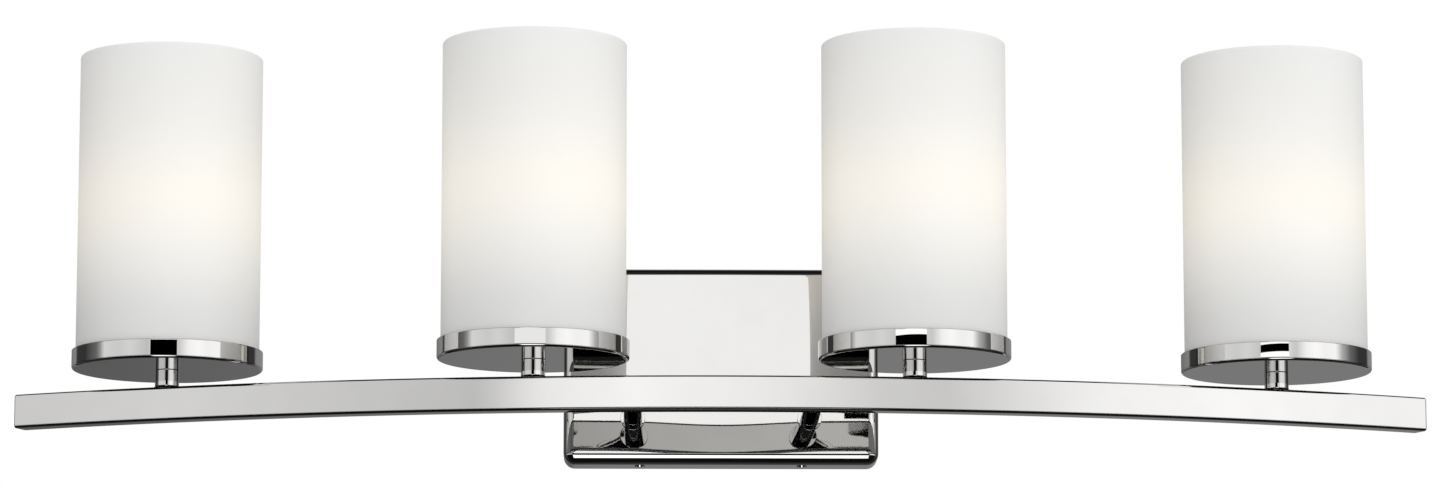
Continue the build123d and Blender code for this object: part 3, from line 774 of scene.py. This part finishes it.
# ------------------------------------------------------------------ studio that polished metal reflects
PANEL_STRENGTH = 1.6
# The studio's upright panels and the gaps between them: brightness by direction, in degrees right
# of straight ahead.
BACK, GAP, LEFT_PANEL, RIGHT_PANEL = 0.33, 0.05, 0.95, 1.35
PANELS = (
    (-180, BACK), (-174, 0.17), (-140, BACK), (-134, GAP), (-112, GAP), (-90, 0.2), (-84, 0.4),
    (-77, LEFT_PANEL), (-55, 0.87), (-42, LEFT_PANEL), (-18, 0.75), (-13, 1.2), (-6, RIGHT_PANEL),
    (5, 1.2), (13, 0.9), (18, 0.85), (30, 1.3), (42, 1.4), (54, 1.3), (70, RIGHT_PANEL), (80, 0.6),
    (94, 0.2), (112, GAP), (134, GAP), (140, BACK), (180, BACK),
)
# The share of it that reaches each height, in degrees above the horizon: straight ahead of the
# object, ahead of it but to the sides, and behind it.
DARK, DIM, FULL, BRIGHTEST = 0.005, 0.01, 1.0, 1.5
CEILING = ((2.2, DIM), (3.6, FULL), (46, FULL), (56, 0.03), (90, DIM))
AHEAD = ((-90, DARK), (-48, DARK), (-45, 1.45), (-13, 1.45), (-11, DIM), *CEILING)
BESIDE = ((-90, DARK), (-13, DARK), (-11, 0.90), (-5.5, 0.95), (-4, DIM), *CEILING)
BEHIND = (
    (-90, DIM), (-30, 0.25), (-12, 0.62), (0, 0.75), (12, FULL), (40, FULL), (60, 0.08), (90, DIM),
)
# How much of a direction counts as straight ahead.
STRAIGHT = ((-180, 0), (-17, 0), (-13, 1), (13, 1), (17, 0), (180, 0))
SIDE_BLEND = 0.05

# What lights everything that isn't a mirror: a level, and how much more comes from the front, the
# right and above.
SOFT_LEVEL = 0.54
SOFT_FRONT = 0.36
SOFT_RIGHT = 0.21
SOFT_ABOVE = 0.22


def by_angle(tree, share, stops, span, brightest=1.0):
    """Grey by angle, where share is the angle's 0 to 1 place in a span centred on zero."""
    greys = [(angle / span + 0.5, (grey / brightest,) * 3) for angle, grey in stops]
    return colour_ramp(tree, share, greys)


def calculate(tree, operation, first, second=0.0):
    """A math node on two values, each a socket or a number."""
    node = tree.nodes.new("ShaderNodeMath")
    node.operation = operation
    for slot_number, value in enumerate((first, second)):
        if isinstance(value, (int, float)):
            node.inputs[slot_number].default_value = value
        else:
            tree.links.new(value, node.inputs[slot_number])
    return node.outputs["Value"]


def blend_values(tree, share, first, second):
    """The first value where share is 0, the second where it is 1."""
    node = tree.nodes.new("ShaderNodeMix")
    node.data_type = "FLOAT"
    for slot_number, value in ((0, share), (2, first), (3, second)):
        tree.links.new(value, node.inputs[slot_number])
    return node.outputs[0]


def blend_shaders(tree, share, first, second):
    """The first shader where share is 0, the second where it is 1."""
    node = tree.nodes.new("ShaderNodeMixShader")
    for slot_number, value in enumerate((share, first, second)):
        tree.links.new(value, node.inputs[slot_number])
    return node.outputs["Shader"]


def mirrored_studio(tree, right, forward, up):
    """The bright panels and dark gaps that polished metal picks up."""
    azimuth = calculate(tree, "ARCTAN2", right, forward)
    azimuth_share = calculate(tree, "ADD", calculate(tree, "DIVIDE", azimuth, 2 * pi), 0.5)
    elevation = calculate(tree, "ARCSINE", up)
    elevation_share = calculate(tree, "ADD", calculate(tree, "DIVIDE", elevation, pi), 0.5)
    panels = by_angle(tree, azimuth_share, PANELS, 360, PANEL_STRENGTH)
    ahead = by_angle(tree, elevation_share, AHEAD, 180, BRIGHTEST)
    beside = by_angle(tree, elevation_share, BESIDE, 180, BRIGHTEST)
    behind = by_angle(tree, elevation_share, BEHIND, 180, BRIGHTEST)
    straight = by_angle(tree, azimuth_share, STRAIGHT, 360)
    is_ahead = tree.nodes.new("ShaderNodeMapRange")
    is_ahead.inputs["From Min"].default_value = -SIDE_BLEND
    is_ahead.inputs["From Max"].default_value = SIDE_BLEND
    tree.links.new(forward, is_ahead.inputs["Value"])
    in_front = blend_values(tree, straight, beside, ahead)
    reach = blend_values(tree, is_ahead.outputs["Result"], behind, in_front)
    studio = tree.nodes.new("ShaderNodeBackground")
    tree.links.new(calculate(tree, "MULTIPLY", panels, reach), studio.inputs["Color"])
    studio.inputs["Strength"].default_value = PANEL_STRENGTH * BRIGHTEST
    return studio.outputs["Background"]


def soft_light(tree, right, forward, up):
    """The even light that everything but mirrors takes from the room."""
    value = SOFT_LEVEL
    for direction, share in ((right, SOFT_RIGHT), (forward, SOFT_FRONT), (up, SOFT_ABOVE)):
        value = calculate(tree, "ADD", calculate(tree, "MULTIPLY", direction, share), value)
    soft = tree.nodes.new("ShaderNodeBackground")
    tree.links.new(value, soft.inputs["Color"])
    return soft.outputs["Background"]


def make_world():
    """A white backdrop, soft light for plain surfaces and a studio for polished ones."""
    world = bpy.data.worlds.new("studio")
    bpy.context.scene.world = world
    world.use_nodes = True
    tree = world.node_tree
    tree.nodes.clear()
    coords = tree.nodes.new("ShaderNodeTexCoord")
    split = tree.nodes.new("ShaderNodeSeparateXYZ")
    tree.links.new(coords.outputs["Generated"], split.inputs["Vector"])
    forward = calculate(tree, "MULTIPLY", split.outputs["Y"], -1.0)
    direction = (split.outputs["X"], forward, split.outputs["Z"])
    backdrop = tree.nodes.new("ShaderNodeBackground")
    backdrop.inputs["Color"].default_value = (1, 1, 1, 1)
    ray = tree.nodes.new("ShaderNodeLightPath")
    lit = blend_shaders(tree, ray.outputs["Is Glossy Ray"], soft_light(tree, *direction),
                        mirrored_studio(tree, *direction))
    seen = blend_shaders(tree, ray.outputs["Is Camera Ray"], lit, backdrop.outputs["Background"])
    output = tree.nodes.new("ShaderNodeOutputWorld")
    tree.links.new(seen, output.inputs["Surface"])


# ------------------------------------------------------------------ floor, light and near panels
FLOOR_HALF_SIZE = 8.0
FLOOR_Z = -0.75


def add_stage_face(name, corners, material):
    """One flat face that isn't part of the object."""
    mesh = bpy.data.meshes.new(name)
    mesh.from_pydata(corners, [], [(0, 1, 2, 3)])
    mesh.materials.append(material)
    face = bpy.data.objects.new(name, mesh)
    bpy.context.scene.collection.objects.link(face)
    return face


def make_floor():
    """A plain pale floor, well below the wall light."""
    paint = surface("floor_paint", (0.86, 0.86, 0.86), (0.89, 0.89, 0.89), (0.6, 0.75), grain=3)
    sides = ((-1, -1), (1, -1), (1, 1), (-1, 1))
    corners = [(x * FLOOR_HALF_SIZE, y * FLOOR_HALF_SIZE, FLOOR_Z) for x, y in sides]
    add_stage_face("floor", corners, paint).visible_glossy = False


KEY_PLACE = (1.4, -2.0, 1.5)
KEY_TARGET = (0, -0.1, 0.05)
KEY_SIZE = 1.2
KEY_POWER = 5


def make_key_light():
    """One soft square light from the upper right, left out of mirror reflections."""
    data = bpy.data.lights.new("key", "AREA")
    data.shape = "SQUARE"
    data.size = KEY_SIZE
    data.energy = KEY_POWER
    light = bpy.data.objects.new("key", data)
    light.location = KEY_PLACE
    aim = Vector(KEY_TARGET) - Vector(KEY_PLACE)
    light.rotation_euler = aim.to_track_quat("-Z", "Y").to_euler()
    light.visible_glossy = False
    bpy.context.scene.collection.objects.link(light)


def make_banded_glow(name, height, bands):
    """A plain emission in level bands, as (share of the height where a band starts, brightness)."""
    material = bpy.data.materials.new(name)
    material.use_nodes = True
    tree = material.node_tree
    tree.nodes.clear()
    glow = tree.nodes.new("ShaderNodeEmission")
    glow.inputs["Strength"].default_value = PANEL_STRENGTH
    greys = [(start, (grey,) * 3) for start, grey in bands]
    colour = colour_ramp(tree, height_share(tree, 0, height), greys, "CONSTANT")
    tree.links.new(colour, glow.inputs["Color"])
    output = tree.nodes.new("ShaderNodeOutputMaterial")
    tree.links.new(glow.outputs["Emission"], output.inputs["Surface"])
    return material


def make_flag(name, x, y, half_width, high_z, bands):
    """A small panel near the object that only polished metal picks up.

    bands are (height where a band starts, brightness), from the bottom up.
    """
    low_z = bands[0][0]
    height = high_z - low_z
    shares = [((start - low_z) / height, grey) for start, grey in bands]
    corners = [(side * half_width, 0, up * height) for side, up in ((-1, 0), (1, 0), (1, 1), (-1, 1))]
    flag = add_stage_face(name, corners, make_banded_glow(name, height, shares))
    flag.location = (x, y, low_z)
    flag.visible_camera = False
    flag.visible_diffuse = False
    flag.visible_shadow = False
    flag.visible_transmission = False


# The panels stand FLAG_GAP in front of the pans and FLAG_RISE higher than them, as they are seen
# from below. They start a little below the rim, at FLAG_FOOT of its height.
FLAG_GAP = 0.030
FLAG_RISE = 0.0043
FLAG_FOOT = -0.32
BLACK, PALE, BRIGHT = 0.0, 0.74, 0.95
# What stands in front of each pan: how far its middle is to the side, its half width, and its
# bands as (share of the rim's height, brightness).
RIM_FLAGS = (
    (0.0025, 0.0160, ((FLAG_FOOT, BLACK),)),
    (-0.0025, 0.0185, ((FLAG_FOOT, BLACK), (0.08, PALE))),
    (-0.0090, 0.0190, ((FLAG_FOOT, BLACK), (0.68, BRIGHT))),
    (-0.0120, 0.0175, ((FLAG_FOOT, BLACK), (0.16, BRIGHT), (0.45, BLACK), (0.87, BRIGHT))),
)
LOW_FLAG_GAP = 0.063
LOW_FLAG_HALF_WIDTH = 0.14
LOW_FLAG_TOP_DROP = 0.015
LOW_FLAG_FOOT_DROP = 0.057


def make_flags():
    """One panel in front of each pan's rim, and one below that keeps the bar's under edge dark."""
    for number in LIGHT_NUMBERS:
        aside, half_width, shares = RIM_FLAGS[number - 1]
        low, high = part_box(f"pan_{number}")
        bands = [(low.z + FLAG_RISE + share * (high.z - low.z), grey) for share, grey in shares]
        x = middle(f"pan_{number}").x + aside
        make_flag(f"flag_{number}", x, low.y - FLAG_GAP, half_width, high.z + FLAG_RISE, bands)
    top_z = bar_low.z - LOW_FLAG_TOP_DROP
    foot_z = bar_low.z - LOW_FLAG_FOOT_DROP
    make_flag("flag_below", 0, bar_low.y - LOW_FLAG_GAP, LOW_FLAG_HALF_WIDTH, top_z, ((foot_z, BLACK),))


# ------------------------------------------------------------------ camera
# Metres and radians, and millimetres for the lens and its sensor.
CAMERA_PLACE = (-0.0499, -3.1141, -0.4297)
CAMERA_TURN = 0.0164
CAMERA_TILT = 0.1604
CAMERA_LENS = 137.024
CAMERA_SENSOR = 36.0
CAMERA_SEES_TO = 50


def make_camera():
    """A long lens below the light, looking slightly up, as from the room."""
    data = bpy.data.cameras.new("camera")
    data.sensor_width = CAMERA_SENSOR
    data.lens = CAMERA_LENS
    data.clip_end = CAMERA_SEES_TO
    camera = bpy.data.objects.new("camera", data)
    camera.location = CAMERA_PLACE
    camera.rotation_euler = (pi / 2 + CAMERA_TILT, 0, -CAMERA_TURN)
    bpy.context.scene.collection.objects.link(camera)
    bpy.context.scene.camera = camera


make_flags()
make_world()
make_floor()
make_key_light()
make_camera()
bpy.context.scene.view_settings.view_transform = "Standard"
